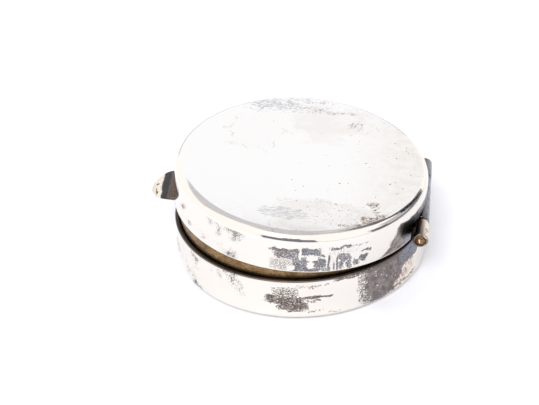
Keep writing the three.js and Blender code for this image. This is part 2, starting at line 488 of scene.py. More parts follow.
# The same for azimuths, in degrees
LID_BROWN_BEFORE = (3, -3)
HINGE_UMBER_FROM = (65, 69)
HINGE_CRUST_FROM = (63, 69)
HINGE_TARNISH_UNTIL = (128, 112)
SLATE_FROM = (50, 60)
UNDER_RIM_UNTIL = (62, 50)
MAUVE_FROM, MAUVE_UNTIL = (25, 50), (150, 130)
CRUST_FROM, CRUST_UNTIL = (58, 64), (122, 116)
# Azimuths between which the photo shows the walls, and how gradually that ends
SEEN_FROM, SEEN_TO, SEEN_FADE = -22, 100, 4

# Depths of the bumps, the roughness of tarnish and what the insides add to that of polished
# silver, and how far in degrees the ragged edge beside the hinge reaches
FINE_BUMP = 0.02 * MM
HAMMERED_BUMP = 0.06 * MM
TARNISH_ROUGHNESS = 0.4
INSIDE_ROUGHNESS = 0.16
HINGE_RAGGEDNESS = 7.0

# Tarnish on the lid's wall: centre and half size as (azimuth, height), then how thick it is
LID_WALL = [
    ((-2.0, 8.95), (6.4, 0.2), 0.95),
    ((8.4, 8.92), (3.9, 0.48), 0.95),
    ((13.0, 8.35), (2.2, 0.14), 0.8),
    ((-2.0, 8.3), (5.4, 0.5), 0.82),
    ((4.4, 7.2), (3.2, 0.85), 0.9),
    ((-3.6, 6.9), (5.0, 0.75), 0.52),
    ((6.5, 6.28), (6.2, 0.26), 0.95),
    ((12.6, 7.3), (2.5, 0.62), 0.95),
    ((13.6, 6.4), (2.6, 0.24), 0.7),
    ((23.2, 8.05), (2.2, 0.24), 0.8),
    ((22.9, 7.1), (1.1, 0.85), 0.85),
    ((26.2, 6.8), (1.0, 0.65), 0.85),
    ((24.9, 7.6), (1.2, 0.3), 0.8),
    ((29.8, 6.8), (1.2, 0.4), 0.9),
    ((33.0, 7.2), (1.5, 0.45), 0.95),
    ((34.0, 8.15), (1.9, 0.14), 0.9),
    ((22.0, 9.25), (4.2, 0.15), 0.95),
    ((31.0, 9.15), (4.0, 0.06), 0.6),
    ((24.0, 8.6), (7.0, 0.3), 0.25),
    ((19.0, 7.2), (3.0, 1.1), 0.2),
]
# Thin upright marks on the same wall
LID_MARKS = [
    ((16.7, 7.5), (0.42, 0.75), 1.0),
    ((17.0, 6.3), (0.5, 0.35), 0.9),
    ((20.6, 7.1), (0.4, 1.05), 1.0),
    ((19.2, 6.6), (0.4, 0.5), 0.9),
]
# Places where the tarnish has been rubbed through
LID_RUBBED = [
    ((4.1, 8.5), (0.45, 0.62), 1.0),
    ((9.4, 7.9), (2.1, 0.26), 1.0),
    ((8.4, 7.0), (1.3, 0.32), 1.0),
    ((0.1, 6.45), (1.4, 0.28), 1.0),
]
# The dark line along the crease of the shoulder, beside the hinge: a painted dark reflection
LID_CREASE = [
    ((66.5, 10.87), (9.5, 0.085), 0.9),
    ((50.0, 10.97), (14.0, 0.035), 0.5),
]
# Speckled tarnish on the base's wall
BASE_WALL = [
    ((-2.8, 2.95), (7.8, 0.5), 0.82),
    ((0.6, 2.1), (5.8, 0.5), 0.86),
    ((1.4, 1.55), (3.4, 0.24), 0.75),
    ((-9.6, 3.2), (1.8, 0.45), 0.9),
    ((-5.0, 1.95), (2.4, 0.22), 0.6),
    ((-2.8, 4.0), (5.0, 0.6), 0.58),
    ((-2.5, 4.72), (5.2, 0.18), 0.42),
    ((6.2, 5.0), (3.8, 0.16), 0.42),
    ((9.6, 4.9), (2.0, 0.26), 0.5),
    ((14.6, 5.05), (2.4, 0.1), 0.42),
    ((8.8, 3.36), (4.0, 0.19), 0.85),
    ((14.6, 3.3), (3.4, 0.12), 0.85),
    ((11.0, 2.95), (1.5, 0.1), 0.7),
    ((8.1, 2.78), (1.8, 0.12), 0.6),
    ((9.6, 1.35), (3.4, 0.14), 0.36),
    ((19.0, 0.98), (2.4, 0.1), 0.4),
    ((29.0, 5.5), (8.0, 0.26), 0.8),
    ((33.0, 4.6), (2.6, 1.0), 0.42),
    ((32.5, 2.6), (2.0, 1.2), 0.5),
    ((57.5, 2.1), (1.6, 0.3), 0.4),
]
# The smooth dark patches on the base's wall beside the hinge, and a painted dark reflection along
# its lower corner
BASE_PATCHES = [
    ((43.6, 3.6), (8.2, 1.9), 1.4),
    ((43.6, 1.7), (6.0, 1.1), 1.1),
    ((50.0, 3.6), (4.8, 1.5), 1.2),
    ((58.0, 5.0), (13.6, 1.35), 1.7),
    ((36.6, 1.5), (4.2, 1.0), 0.68),
    ((35.4, 3.9), (4.2, 1.9), 0.62),
    ((58.0, 2.3), (2.0, 0.3), 0.5),
    ((63.0, 3.0), (1.0, 0.8), 0.4),
    # A painted reflection: the thin dark line where the lower corner starts mirrors the floor's
    # shade near the box
    ((57.5, 1.17), (9.0, 0.12), 0.9),
]
# The front edge of the tarnish beside the hinge, on the lid's wall: two lines, on which
# azimuth = slope * height - shift, for (slope, shift)
HINGE_EDGES = [(8.3, 9.6), (1.9, -34.7)]
# Its black part by the barrel, tarnish darkened with painted shade and a painted dark reflection of
# the barrel, and its bluish parts
HINGE_BLACK_SHADE_SPOTS = [((62.5, 8.2), (5.9, 1.2), 1.1)]
HINGE_BLUE_SPOTS = [((60.4, 6.55), (3.4, 0.42), 1.0), ((70.0, 9.25), (14.0, 0.3), 1.0)]
# The cream patch low on the base's wall, in the same tarnish
CREAM_SPOTS = [((56.5, 2.4), (7.4, 1.7), 1.0)]
# Faint stains on the lid's top: centre and half size as (x, y), then how strong they are
TOP_STAINS = [
    ((-9.7, 2.6), (2.4, 4.2), 0.9),
    ((-6.4, 2.2), (1.6, 2.2), 0.5),
    ((-6.2, -6.4), (3.2, 2.6), 0.26),
    ((-8.6, -2.4), (2.2, 3.6), 0.26),
    ((11.2, 3.7), (2.9, 4.9), 1.0),
]
# Brown specks along the stains' edges
TOP_BROWN = [
    ((-9.2, 6.2), (0.8, 0.8), 0.3),
    ((-11.8, 3.2), (0.3, 2.2), 0.4),
    ((7.4, 9.1), (0.4, 0.5), 0.6),
    ((8.3, 9.4), (0.18, 0.4), 0.6),
    ((9.2, 9.6), (0.22, 0.5), 0.62),
    ((10.4, 9.9), (0.55, 0.6), 0.62),
    ((11.1, 8.8), (0.5, 0.8), 0.6),
    ((12.2, 7.8), (0.3, 1.0), 0.5),
    ((12.8, 6.2), (0.22, 1.3), 0.4),
    ((10.4, 4.6), (2.4, 3.4), 0.13),
    ((8.2, 4.0), (0.25, 2.4), 0.24),
]
# Fine grey scratches, and grey mottling along the far edge
TOP_SCRATCHED = [
    ((10.9, -1.6), (1.0, 2.4), 0.55),
]
TOP_MOTTLED = [
    ((-12.6, -4.6), (0.9, 3.0), 0.55),
    ((-12.0, -2.6), (1.0, 4.6), 0.34),
    ((-13.8, -1.0), (0.4, 4.0), 0.4),
]
# Small brown marks on the thumb tab: centre and half size as (x, y), then strength
TAB_MARKS = [
    ((-0.4, -17.65), (0.14, 0.13), 1.0),
    ((0.9, -17.66), (0.5, 0.05), 0.5),
    ((1.5, -17.5), (0.3, 0.1), 0.6),
]
# Painted highlights on the pin's ends: centre and half size as (y, z), then strength
PIN_GLINTS = [
    ((14.92, 7.0), (0.09, 0.14), 1.0),
    ((14.95, 6.72), (0.06, 0.12), 0.8),
]


def polished(shader):
    """Fine scratches and the soft unevenness of old polished sheet, as bump and as a mask."""
    brushed = shader.stretched(2.4, 0.3, 1.0)
    scratches = shader.noise(scale=3.0, seed=2.0, detail=4, roughness=0.7, vector=brushed)
    waves = shader.noise(scale=0.16, seed=5.0, detail=2)
    shader.bump(shader.math("ADD", shader.times(scratches, 0.06), waves), FINE_BUMP)
    return scratches


def hidden_tarnish(shader, grain):
    """Scattered tarnish on the part of a wall that the photo doesn't show."""
    patches = shader.ramp(shader.noise(scale=0.22, seed=41.0, detail=3), 0.5, 0.66)
    shown = shader.ramp(shader.azimuth, SEEN_FROM - SEEN_FADE, SEEN_FROM + SEEN_FADE)
    away = shader.math("SUBTRACT", 1.0, shown)
    past = shader.ramp(shader.azimuth, SEEN_TO - SEEN_FADE, SEEN_TO + SEEN_FADE)
    return shader.stippled(shader.times(patches, shader.most(away, past), 0.8), grain)


def tarnish_colour(shader, tones, seed):
    """A tarnish that varies between its light and dark tones in patches and in streaks."""
    patch = shader.ramp(shader.noise(scale=1.1, seed=seed, detail=3), 0.38, 0.62, 0.0, 0.5)
    on_wall = shader.along_wall(across=0.75, up=1.3)
    streaks = shader.noise(scale=3.2, seed=seed + 1, detail=4, roughness=0.7, vector=on_wall)
    fine = shader.ramp(streaks, 0.4, 0.6, 0.0, 0.5)
    return shader.mix(shader.math("ADD", patch, fine), *tones)


def beside_hinge(shader, coarse, grain):
    """Where the lid's wall is heavily tarnished: its front edge climbs from the lower edge."""
    past = []
    for slope, shift in HINGE_EDGES:
        edge = shader.math("SUBTRACT", shader.azimuth, shader.times(shader.z, slope))
        past.append(shader.math("ADD", edge, shift))
    inward = shader.most(*past)
    for noise in (coarse, grain):
        ragged = shader.times(shader.math("SUBTRACT", noise, 0.5), HINGE_RAGGEDNESS)
        inward = shader.math("ADD", inward, ragged)
    height = shader.math("ADD", shader.z, shader.times(coarse, 0.8))
    below_shoulder = shader.ramp(height, 9.95, 9.7)
    return shader.times(shader.ramp(inward, -0.9, 0.7), below_shoulder)


def hinge_tarnish_colour(shader, ragged):
    """Brown-grey in front, bluish lower down and along the shoulder, and black by the barrel, where
    painted shade of the barrel darkens the tarnish.
    """
    # The black part by the barrel is painted shade and a painted dark reflection over the tarnish
    black_shade_zone = shader.spots(ragged, HINGE_BLACK_SHADE_SPOTS)
    umber_zone = shader.ramp(shader.azimuth, *HINGE_UMBER_FROM)
    blue_zone = shader.spots(ragged, HINGE_BLUE_SPOTS)
    front = tarnish_colour(shader, HINGE_FRONT, seed=51.0)
    umber = tarnish_colour(shader, HINGE_UMBER, seed=55.0)
    bluish = tarnish_colour(shader, HINGE_BLUISH, seed=53.0)
    colour = shader.mix(blue_zone, shader.mix(umber_zone, front, umber), bluish)
    return shader.mix(shader.ramp(black_shade_zone, 0.2, 0.6), colour, BLACK_TARNISH_AND_SHADE)


def top_colour(shader, coarse, grain):
    """The lid's top: almost clean, with faint stains, brown specks, scratches and pits."""
    moved = shader.shifted(shader.place, scale=0.7, seed=8.0, reach=(2.6, 2.6))
    ragged = shader.shifted(moved, scale=0.3, seed=28.0, reach=(3.4, 3.4))
    ragged = shader.shifted(ragged, scale=1.3, seed=29.0, reach=(2.6, 2.6))
    ragged = shader.shifted(ragged, scale=4.0, seed=9.0, reach=(0.6, 0.6))
    stain = shader.spots(ragged, TOP_STAINS)
    uneven = shader.ramp(shader.noise(scale=0.3, seed=35.0, detail=2), 0.4, 0.6, 0.45, 1.0)
    body = shader.times(shader.ramp(stain, 0.05, 0.8), shader.ramp(grain, 0.2, 0.8, 0.6, 1.0))
    body = shader.times(body, uneven)
    rim = shader.times(shader.ramp(stain, 0.02, 0.1), shader.ramp(stain, 0.22, 0.12))
    rim = shader.times(rim, shader.ramp(coarse, 0.45, 0.6), 0.3)
    warm = shader.times(shader.ramp(shader.y, 4.0, 14.0), shader.spread(coarse, 0.3, 0.9))
    curls = shader.noise(scale=1.5, seed=15.0, detail=3)
    curl = shader.math("ABSOLUTE", shader.math("SUBTRACT", curls, 0.5))
    curl = shader.ramp(curl, 0.08, 0.02, 0.2, 1.1)
    brown = shader.stippled(shader.times(shader.spots(moved, TOP_BROWN), curl), grain)
    thin = shader.stretched(5.0, 0.9, 1.0)
    hair = shader.noise(scale=1.6, seed=12.0, detail=3, roughness=0.7, vector=thin)
    scratched = shader.stippled(shader.spots(moved, TOP_SCRATCHED), hair)
    short = shader.stretched(1.8, 1.0, 1.0)
    dashes = shader.noise(scale=2.2, seed=18.0, detail=4, roughness=0.7, vector=short)
    mottled = shader.stippled(shader.spots(moved, TOP_MOTTLED), dashes)
    few = shader.ramp(shader.y, -6.0, 12.0, 0.01, 0.14)
    jittered = shader.shifted(shader.place, scale=0.5, seed=27.0, reach=(3.0, 3.0))
    pits = shader.pits(jittered, scale=1.2, seed=4.3, size=0.08, share=few)

    colour = shader.mix(warm, TOP_SILVER, WARM_SILVER)
    smudge = shader.ramp(shader.spots(moved, TOP_BROWN), 0.15, 0.7, 0.0, 0.4)
    colour = shader.mix(shader.times(body, 0.32), colour, STAIN)
    colour = shader.mix(smudge, colour, STAIN_EDGE)
    colour = shader.mix(rim, colour, STAIN_EDGE)
    colour = shader.mix(shader.times(scratched, 0.4), colour, GREY_TARNISH)
    colour = shader.mix(shader.times(mottled, 0.5), colour, BLUE_TARNISH)
    colour = shader.mix(shader.times(brown, 0.75), colour, SPECK)
    return shader.mix(shader.times(pits, 0.8), colour, SPECK), brown


def lid_silver():
    """Polished silver with tarnish round the wall, heavy beside the hinge with painted shade by the
    barrel, a painted dark reflection along the shoulder's crease, a painted highlight along the
    lower edge, and stains on the top.
    """
    shader = Shader("lid_silver", on_lid=True)
    scratches = polished(shader)
    unrolled = shader.along_wall(across=1.0, up=1.25)
    grain = shader.noise(scale=6.0, seed=11.0, detail=4, roughness=0.62, vector=unrolled)
    coarse = shader.noise(scale=0.9, seed=7.0, detail=4)
    on_wall = shader.ramp(shader.z, *LID_WALL_TOP)
    outside = shader.times(on_wall, shader.ramp(shader.radius, *OUTER_FACE))
    # Painted highlight: the tarnish is left off the lowest band of the lid's wall
    highlight_edge = shader.ramp(shader.z, *LID_HIGHLIGHT_EDGE)

    ragged = shader.shifted(shader.wall, scale=1.3, seed=3.0, reach=(5.0, 1.1))
    ragged = shader.shifted(ragged, scale=5.0, seed=23.0, reach=(2.0, 0.5))
    thick = shader.spots(ragged, LID_WALL)
    wavy = shader.shifted(shader.wall, scale=0.8, seed=4.0, reach=(1.6, 0.8))
    marks = shader.spots(wavy, LID_MARKS)
    frayed = shader.shifted(shader.wall, scale=1.3, seed=6.0, reach=(1.6, 0.4))
    rubbed = shader.spots(frayed, LID_RUBBED)
    thick = shader.times(shader.most(thick, marks), 0.9)
    tarnish = shader.stippled(shader.without(thick, rubbed), grain)
    tarnish = shader.most(tarnish, hidden_tarnish(shader, grain))
    tarnish = shader.times(shader.without(tarnish, highlight_edge), outside)
    heavy = shader.times(beside_hinge(shader, coarse, grain), outside)
    heavy = shader.times(heavy, shader.ramp(shader.azimuth, *HINGE_TARNISH_UNTIL))
    heavy = shader.without(heavy, highlight_edge)

    grain_on_top = shader.noise(scale=5.0, seed=19.0, detail=4)
    top, brown = top_colour(shader, coarse, grain_on_top)
    on_top = shader.ramp(shader.z, *LID_FLAT)
    inside = shader.ramp(shader.radius, *LID_INSIDE)
    underside = shader.times(inside, shader.ramp(shader.z, *LID_CEILING))

    # A painted dark reflection along the shoulder's crease
    crease = shader.ramp(shader.spots(shader.wall, LID_CREASE), 0.3, 0.6)
    crease = shader.times(crease, shader.ramp(grain, 0.62, 0.5, 0.3, 1.0))

    bluish = tarnish_colour(shader, LID_BLUISH, seed=43.0)
    brownish = tarnish_colour(shader, LID_BROWNISH, seed=45.0)
    to_brown = shader.times(shader.ramp(shader.azimuth, *LID_BROWN_BEFORE), 0.8)
    mottled = shader.mix(to_brown, bluish, brownish)
    colour = shader.mix(on_top, WALL_SILVER, top)
    colour = shader.mix(underside, colour, INNER_SILVER)
    colour = shader.mix(tarnish, colour, mottled)
    colour = shader.mix(crease, colour, CREASE_DARK_REFLECTION)
    colour = shader.mix(heavy, colour, hinge_tarnish_colour(shader, ragged))
    dull = shader.times(tarnish, 0.9)
    crusted = shader.times(heavy, shader.ramp(shader.azimuth, *HINGE_CRUST_FROM))
    shader.put(shader.surface.inputs["Metallic"], shader.blend(crusted, 1.0, 0.3))
    dull = shader.most(dull, shader.times(heavy, 0.5), crusted, shader.times(brown, on_top))
    shiny = shader.spread(scratches, 0.05, 0.12)
    clean = shader.math("ADD", shiny, shader.times(underside, INSIDE_ROUGHNESS))
    roughness = shader.blend(dull, clean, TARNISH_ROUGHNESS)
    return shader.finish(colour, roughness)


def base_silver():
    """Polished silver with speckled tarnish in front and smooth dark patches beside the hinge."""
    shader = Shader("base_silver")
    scratches = polished(shader)
    unrolled = shader.along_wall(across=0.85, up=1.4)
    grain = shader.noise(scale=5.2, seed=21.0, detail=4, roughness=0.62, vector=unrolled)
    coarse = shader.noise(scale=0.9, seed=17.0, detail=4)
    outside = shader.ramp(shader.radius, *OUTER_FACE)
    ragged = shader.shifted(shader.wall, scale=1.4, seed=13.0, reach=(4.0, 0.8))
    tarnish = shader.stippled(shader.spots(ragged, BASE_WALL), grain)
    tarnish = shader.most(tarnish, hidden_tarnish(shader, grain))
    tarnish = shader.times(tarnish, outside)
    rougher = shader.shifted(ragged, scale=1.7, seed=33.0, reach=(7.0, 1.6))
    rougher = shader.shifted(rougher, scale=4.0, seed=14.0, reach=(3.4, 0.8))
    patch = shader.stippled(shader.spots(rougher, BASE_PATCHES), grain)
    evenly = shader.along_wall(across=1.0, up=1.0)
    flecks = shader.pits(evenly, scale=1.3, seed=9.0, size=0.1, share=0.35)
    patch = shader.times(shader.without(patch, shader.times(flecks, 0.7)), outside)
    rim = shader.ramp(shader.z, *BASE_RIM)
    inside = shader.ramp(shader.radius, *BASE_INSIDE)
    well = shader.times(inside, shader.ramp(shader.z, *BASE_WELL))
    under = shader.ramp(shader.z, *BASE_BOTTOM)
    worn = shader.stippled(shader.times(under, shader.ramp(coarse, 0.45, 0.7), 0.5), grain)

    speckled = tarnish_colour(shader, BASE_SPECKLED, seed=47.0)
    smooth = tarnish_colour(shader, BASE_SMOOTH, seed=49.0)
    bluish = shader.ramp(shader.azimuth, *SLATE_FROM)
    bluish = shader.times(bluish, shader.ramp(shader.z, *SLATE_HEIGHTS))
    slate = tarnish_colour(shader, BASE_SLATE, seed=59.0)
    smooth = shader.mix(bluish, smooth, slate)
    by_rim = shader.ramp(shader.z, *UNDER_RIM_HEIGHTS)
    by_rim = shader.times(by_rim, shader.ramp(shader.azimuth, *UNDER_RIM_UNTIL))
    smooth = shader.mix(shader.times(by_rim, 0.6), smooth, UNDER_RIM)
    cream = shader.ramp(shader.spots(rougher, CREAM_SPOTS), 0.2, 0.5)
    cream = shader.times(cream, outside)
    colour = shader.mix(shader.times(cream, 0.7), WALL_SILVER, BASE_CREAM)
    colour = shader.mix(well, colour, INNER_SILVER)
    colour = shader.mix(tarnish, colour, speckled)
    colour = shader.mix(patch, colour, smooth)
    colour = shader.mix(shader.times(worn, 0.6), colour, GREY_TARNISH)
    colour = shader.mix(shader.times(rim, 0.9), colour, RIM_BROWN)
    dull = shader.most(tarnish, shader.times(patch, 0.8), rim, worn)
    shiny = shader.spread(scratches, 0.06, 0.13)
    clean = shader.math("ADD", shiny, shader.times(well, INSIDE_ROUGHNESS))
    roughness = shader.blend(dull, clean, TARNISH_ROUGHNESS)
    return shader.finish(colour, roughness)


def gilt():
    """Gilding darkened low down by painted shade in the gap between the lid's edge and the base's
    rim, and worn to a mauve brown beside the hinge.
    """
    shader = Shader("gilt_silver")
    unrolled = shader.along_wall(across=1.0, up=3.0)
    grain = shader.noise(scale=2.2, seed=4.0, detail=5, roughness=0.6, vector=unrolled)
    blot = shader.noise(scale=0.7, seed=9.0)
    gold = shader.mix(shader.ramp(blot, 0.35, 0.7), GOLD, DEEP_GOLD)
    colour = shader.mix(shader.ramp(grain, 0.45, 0.75), gold, GILT_GRAIN)
    worn = shader.ramp(shader.azimuth, *MAUVE_FROM)
    worn = shader.times(worn, shader.ramp(shader.azimuth, *MAUVE_UNTIL))
    colour = shader.mix(shader.times(worn, 0.9), colour, GILT_MAUVE)
    # Painted shade, low on the collar, in the gap between the lid's edge and the base's rim
    low = shader.ramp(shader.z, *GILT_SHADE_HEIGHTS)
    colour = shader.mix(shader.times(low, 0.75), colour, GILT_SHADE)
    crust = shader.ramp(shader.azimuth, *CRUST_FROM)
    crust = shader.times(crust, shader.ramp(shader.azimuth, *CRUST_UNTIL))
    umber = tarnish_colour(shader, COLLAR_CRUST, seed=57.0)
    colour = shader.mix(crust, colour, umber)
    shader.put(shader.surface.inputs["Metallic"], shader.blend(crust, 1.0, 0.1))
    shader.bump(grain, FINE_BUMP)
    roughness = shader.blend(crust, shader.spread(grain, 0.2, 0.4), 0.6)
    return shader.finish(colour, roughness)


def worn_silver(name, on_lid, near, far, stain_and_shade):
    """Worn silver with brown pitting, of one tone on the +X side and another on the -X side, and
    with painted shade on its side towards the box.
    """
    shader = Shader(name, on_lid)
    grain = shader.noise(scale=4.0, seed=14.0, detail=4)
    blot = shader.noise(scale=1.0, seed=6.0, detail=4)
    clean = shader.mix(shader.ramp(shader.x, -2.0, 4.0), far, near)
    # Painted shade: the side towards the box, inward of the hinge's axis, is darkened brown
    inward = shader.ramp(shader.y, HINGE.y / MM + 0.8, HINGE.y / MM + 0.1, 0.0, 0.95)
    worn = shader.most(shader.ramp(blot, 0.46, 0.62, 0.1, 0.8), inward)
    colour = shader.mix(worn, clean, stain_and_shade)
    colour = shader.mix(shader.ramp(grain, 0.6, 0.7), colour, SPECK)
    shader.bump(grain, FINE_BUMP)
    return shader.finish(colour, shader.spread(grain, 0.12, 0.26))


def tab_silver():
    """Cream silver, with a near-black band of tarnish beside the lid and brown next to it."""
    shader = Shader("tab_silver", on_lid=True)
    grain = shader.noise(scale=4.0, seed=24.0, detail=4)
    coarse = shader.noise(scale=1.1, seed=8.0, detail=3)
    out = shader.math("SUBTRACT", shader.times(coarse, 0.7), shader.y)
    dark = shader.ramp(out, *TAB_BLACK_FROM)
    brown = shader.ramp(out, *TAB_BROWN_FROM)
    inner = shader.mix(shader.ramp(grain, 0.4, 0.6), *TAB_INNER)
    cream = shader.mix(shader.ramp(grain, 0.62, 0.72), *TAB_CREAM)
    moved = shader.shifted(shader.place, scale=2.0, seed=5.0, reach=(0.2, 0.2))
    marks = shader.spots(moved, TAB_MARKS)
    cream = shader.mix(shader.ramp(marks, 0.2, 0.6), cream, TAB_MARK)
    colour = shader.mix(dark, cream, TAB_BLACK)
    colour = shader.mix(brown, colour, inner)
    shader.bump(grain, FINE_BUMP)
    return shader.finish(colour, shader.blend(dark, 0.2, 0.36))


def pin_brass():
    """Mottled brass, darker towards its rim, with a painted highlight on its end."""
    shader = Shader("pin_brass")
    grain = shader.noise(scale=5.0, seed=31.0, detail=3)
    across = shader.square(shader.math("SUBTRACT", shader.y, HINGE.y / MM))
    up = shader.square(shader.math("SUBTRACT", shader.z, HINGE.z / MM))
    out = shader.math("SQRT", shader.math("ADD", across, up))
    colour = shader.mix(shader.ramp(grain, 0.44, 0.56), BRASS, BRASS_GRAIN)
    colour = shader.mix(shader.ramp(out, *PIN_RIM, 0.0, 0.7), colour, BRASS_EDGE)
    face = shader.shifted(shader.joined(shader.y, shader.z), scale=4.0, seed=33.0, reach=(0.2, 0.2))
    # A painted highlight on the pin's domed end
    glint = shader.ramp(shader.spots(face, PIN_GLINTS), 0.2, 0.6)
    colour = shader.mix(glint, colour, BRASS_GLINT)
    shader.bump(grain, HAMMERED_BUMP)
    return shader.finish(colour, shader.spread(grain, 0.25, 0.45))


# ---------------------------------------------------------------- pieces


def base_profile(in_notch):
    """Inside and outside of the base pan, which has no notch."""
    inner = RADIUS - BASE_SHEET
    inner_corner = BASE_CORNER - BASE_SHEET
    inside = arc(inner - inner_corner, BASE_CORNER, inner_corner, -90, 0)
    outside = arc(RADIUS - BASE_CORNER, BASE_CORNER, BASE_CORNER, 0, -90)
    rim = soft_edge(inner, RADIUS, RIM_Z, 1)
    return [(0, BASE_SHEET), *inside, *rim, *outside, (0, 0)]


def lid_profile(in_notch):
    """Inside and outside of the lid pan, cut short above the barrel."""
    edge_z = LID_NOTCH_Z if in_notch else LID_EDGE_Z
    inner = RADIUS - LID_SHEET
    inner_shoulder = LID_SHOULDER - LID_SHEET
    shoulder_z = LID_TOP_Z - LID_SHOULDER
    inside = arc(inner - inner_shoulder, shoulder_z, inner_shoulder, 90, 0)
    outside = arc(RADIUS - LID_SHOULDER, shoulder_z, LID_SHOULDER, 0, 90)
    rim = soft_edge(inner, RADIUS, edge_z, -1)
    return [(0, LID_TOP_Z - LID_SHEET), *inside, *rim, *outside, (0, LID_TOP_Z)]


def collar_profile(in_notch):
    """Round the collar's sheet, cut down to the base's rim at the barrel."""
    top = RIM_Z if in_notch else COLLAR_HIGH.z
    outer = COLLAR_HIGH.x
    inner = outer - COLLAR_SHEET
    upper = soft_edge(inner, outer, top, 1)
    lower = soft_edge(inner, outer, COLLAR_LOW.z, -1)
    return [*upper, *reversed(lower)]


def notch_angle(half, radius):
    """Half the angle of a notch, from half its width and the radius of the wall that it cuts."""
    return math.asin(half / radius)


def place_on_lid(piece):
    """Turns a piece that was made on the closed lid to where the lid rests, and fixes it there."""
    piece.data.transform(LID_TURN)
    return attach(piece, "lid")


def make_base_pan():
    mesh = turned_mesh("base_pan_fine", base_profile, columns(), closed=False)
    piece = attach(mesh_object("base_pan_fine", mesh, base_silver()), "base")
    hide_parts("base_pan")


def make_lid_pan():
    listed = columns(notch_angle(LID_NOTCH_HALF, RADIUS))
    mesh = turned_mesh("lid_pan_fine", lid_profile, listed, closed=False)
    piece = place_on_lid(mesh_object("lid_pan_fine", mesh, lid_silver()))
    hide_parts("lid_pan")


def make_collar():
    listed = columns(notch_angle(COLLAR_NOTCH_HALF, COLLAR_HIGH.x))
    mesh = turned_mesh("collar_fine", collar_profile, listed, closed=True)
    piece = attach(mesh_object("collar_fine", mesh, gilt()), "base")
    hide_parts("base_collar")


def knuckle_mesh(name, start, end):
    """A tube along X about the hinge's axis, with well rounded ends."""
    lip = KNUCKLE_LIP
    outer = KNUCKLE_RADIUS
    bore = KNUCKLE_BORE
    rest = outer - bore - lip

    def profile(in_notch):
        low = arc(outer - lip, start + lip, lip, -90, 0, EDGE_STEPS * 2)
        high = arc(outer - lip, end - lip, lip, 0, 90, EDGE_STEPS * 2)
        bore_low = arc(bore + rest, start + rest, rest, 180, 270, EDGE_STEPS)
        bore_high = arc(bore + rest, end - rest, rest, 90, 180, EDGE_STEPS)
        return [*bore_low, *low, *high, *bore_high]

    mesh = turned_mesh(name, profile, columns(count=TUBE_COLUMNS), closed=True)
    mesh.transform(Matrix.Translation(HINGE) @ Matrix.Rotation(math.pi / 2, 4, "Y"))
    return mesh


def make_knuckles():
    outer_tones = KNUCKLE_CREAM, KNUCKLE_SLATE, KNUCKLE_BROWN
    outer = worn_silver("base_knuckle_silver", False, *outer_tones)
    middle_tones = KNUCKLE_GREY, KNUCKLE_SLATE, LID_KNUCKLE_BROWN
    middle = worn_silver("lid_knuckle_silver", True, *middle_tones)
    spans = {
        "base_knuckle_left": (-KNUCKLE_HIGH.x, -KNUCKLE_LOW.x),
        "base_knuckle_right": (KNUCKLE_LOW.x, KNUCKLE_HIGH.x),
        "lid_knuckle": (LID_KNUCKLE_LOW.x, LID_KNUCKLE_HIGH.x),
    }
    for node, (start, end) in spans.items():
        on_lid = node == "lid_knuckle"
        mesh = knuckle_mesh(node + "_fine", start, end)
        piece = mesh_object(node + "_fine", mesh, middle if on_lid else outer)
        if on_lid:
            place_on_lid(piece)
        else:
            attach(piece, "base")
        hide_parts(node)


def make_pin():
    """A rod whose hammered ends are low domes."""

    def profile(in_notch):
        low = []
        for k in range(DOME_STEPS + 1):
            out = k / DOME_STEPS
            low.append((PIN_RADIUS * k / DOME_STEPS, -PIN_HIGH.x + PIN_DOME * out**2))
        high = [(r, -z) for r, z in reversed(low)]
        return [*low, *high]

    mesh = turned_mesh("hinge_pin_fine", profile, columns(count=TUBE_COLUMNS), closed=False)
    mesh.transform(Matrix.Translation(HINGE) @ Matrix.Rotation(math.pi / 2, 4, "Y"))
    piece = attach(mesh_object("hinge_pin_fine", mesh, pin_brass()), "base")
    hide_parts("hinge_pin")


def tab_point(side, out):
    """A point on the tab's upper face: -1 to 1 across, and 0 to 1 from its root to its rim."""
    meeting = (TAB_CENTRE**2 + TAB_ROOT**2 - TAB_RADIUS**2) / (2 * TAB_CENTRE)
    half_angle = math.acos((meeting - TAB_CENTRE) / TAB_RADIUS)
    half_root = TAB_RADIUS * math.sin(half_angle)
    root = Vector((half_root * side, -math.sqrt(TAB_ROOT**2 - (half_root * side) ** 2)))
    angle = half_angle * side
    rim = TAB_RADIUS * Vector((math.sin(angle), -math.cos(angle))) - Vector((0, TAB_CENTRE))
    x, y = root.lerp(rim, out)
    reach = max(-y - RADIUS, 0.0) / TAB_REACH
    return Vector((x, y, TAB_HIGH.z - TAB_DROP * reach**2))


def make_tab():
    """A half-disc that curls down towards its tip, with a rounded edge. Its root is in the wall."""
    bm = bmesh.new()
    sides = [2 * i / TAB_ACROSS - 1 for i in range(TAB_ACROSS + 1)]
    rows = []
    for j in range(TAB_ROWS + 1):
        rows.append([bm.verts.new(tab_point(side, j / TAB_ROWS)) for side in sides])
    for lower, upper in zip(rows, rows[1:]):
        for i in range(TAB_ACROSS):
            bm.faces.new((lower[i], upper[i], upper[i + 1], lower[i + 1]))
    mesh = finished_mesh("thumb_tab_fine", bm)
    piece = mesh_object("thumb_tab_fine", mesh, tab_silver())
    sheet = piece.modifiers.new("sheet", "SOLIDIFY")
    sheet.thickness = TAB_SHEET
    sheet.offset = -1 if mesh.polygons[0].normal.z > 0 else 1
    bevel = piece.modifiers.new("edge", "BEVEL")
    bevel.width = TAB_EDGE
    bevel.segments = TAB_EDGE_STEPS
    bevel.limit_method = "ANGLE"
    bevel.angle_limit = TAB_EDGE_ANGLE
    place_on_lid(piece)
    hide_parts("thumb_tab")


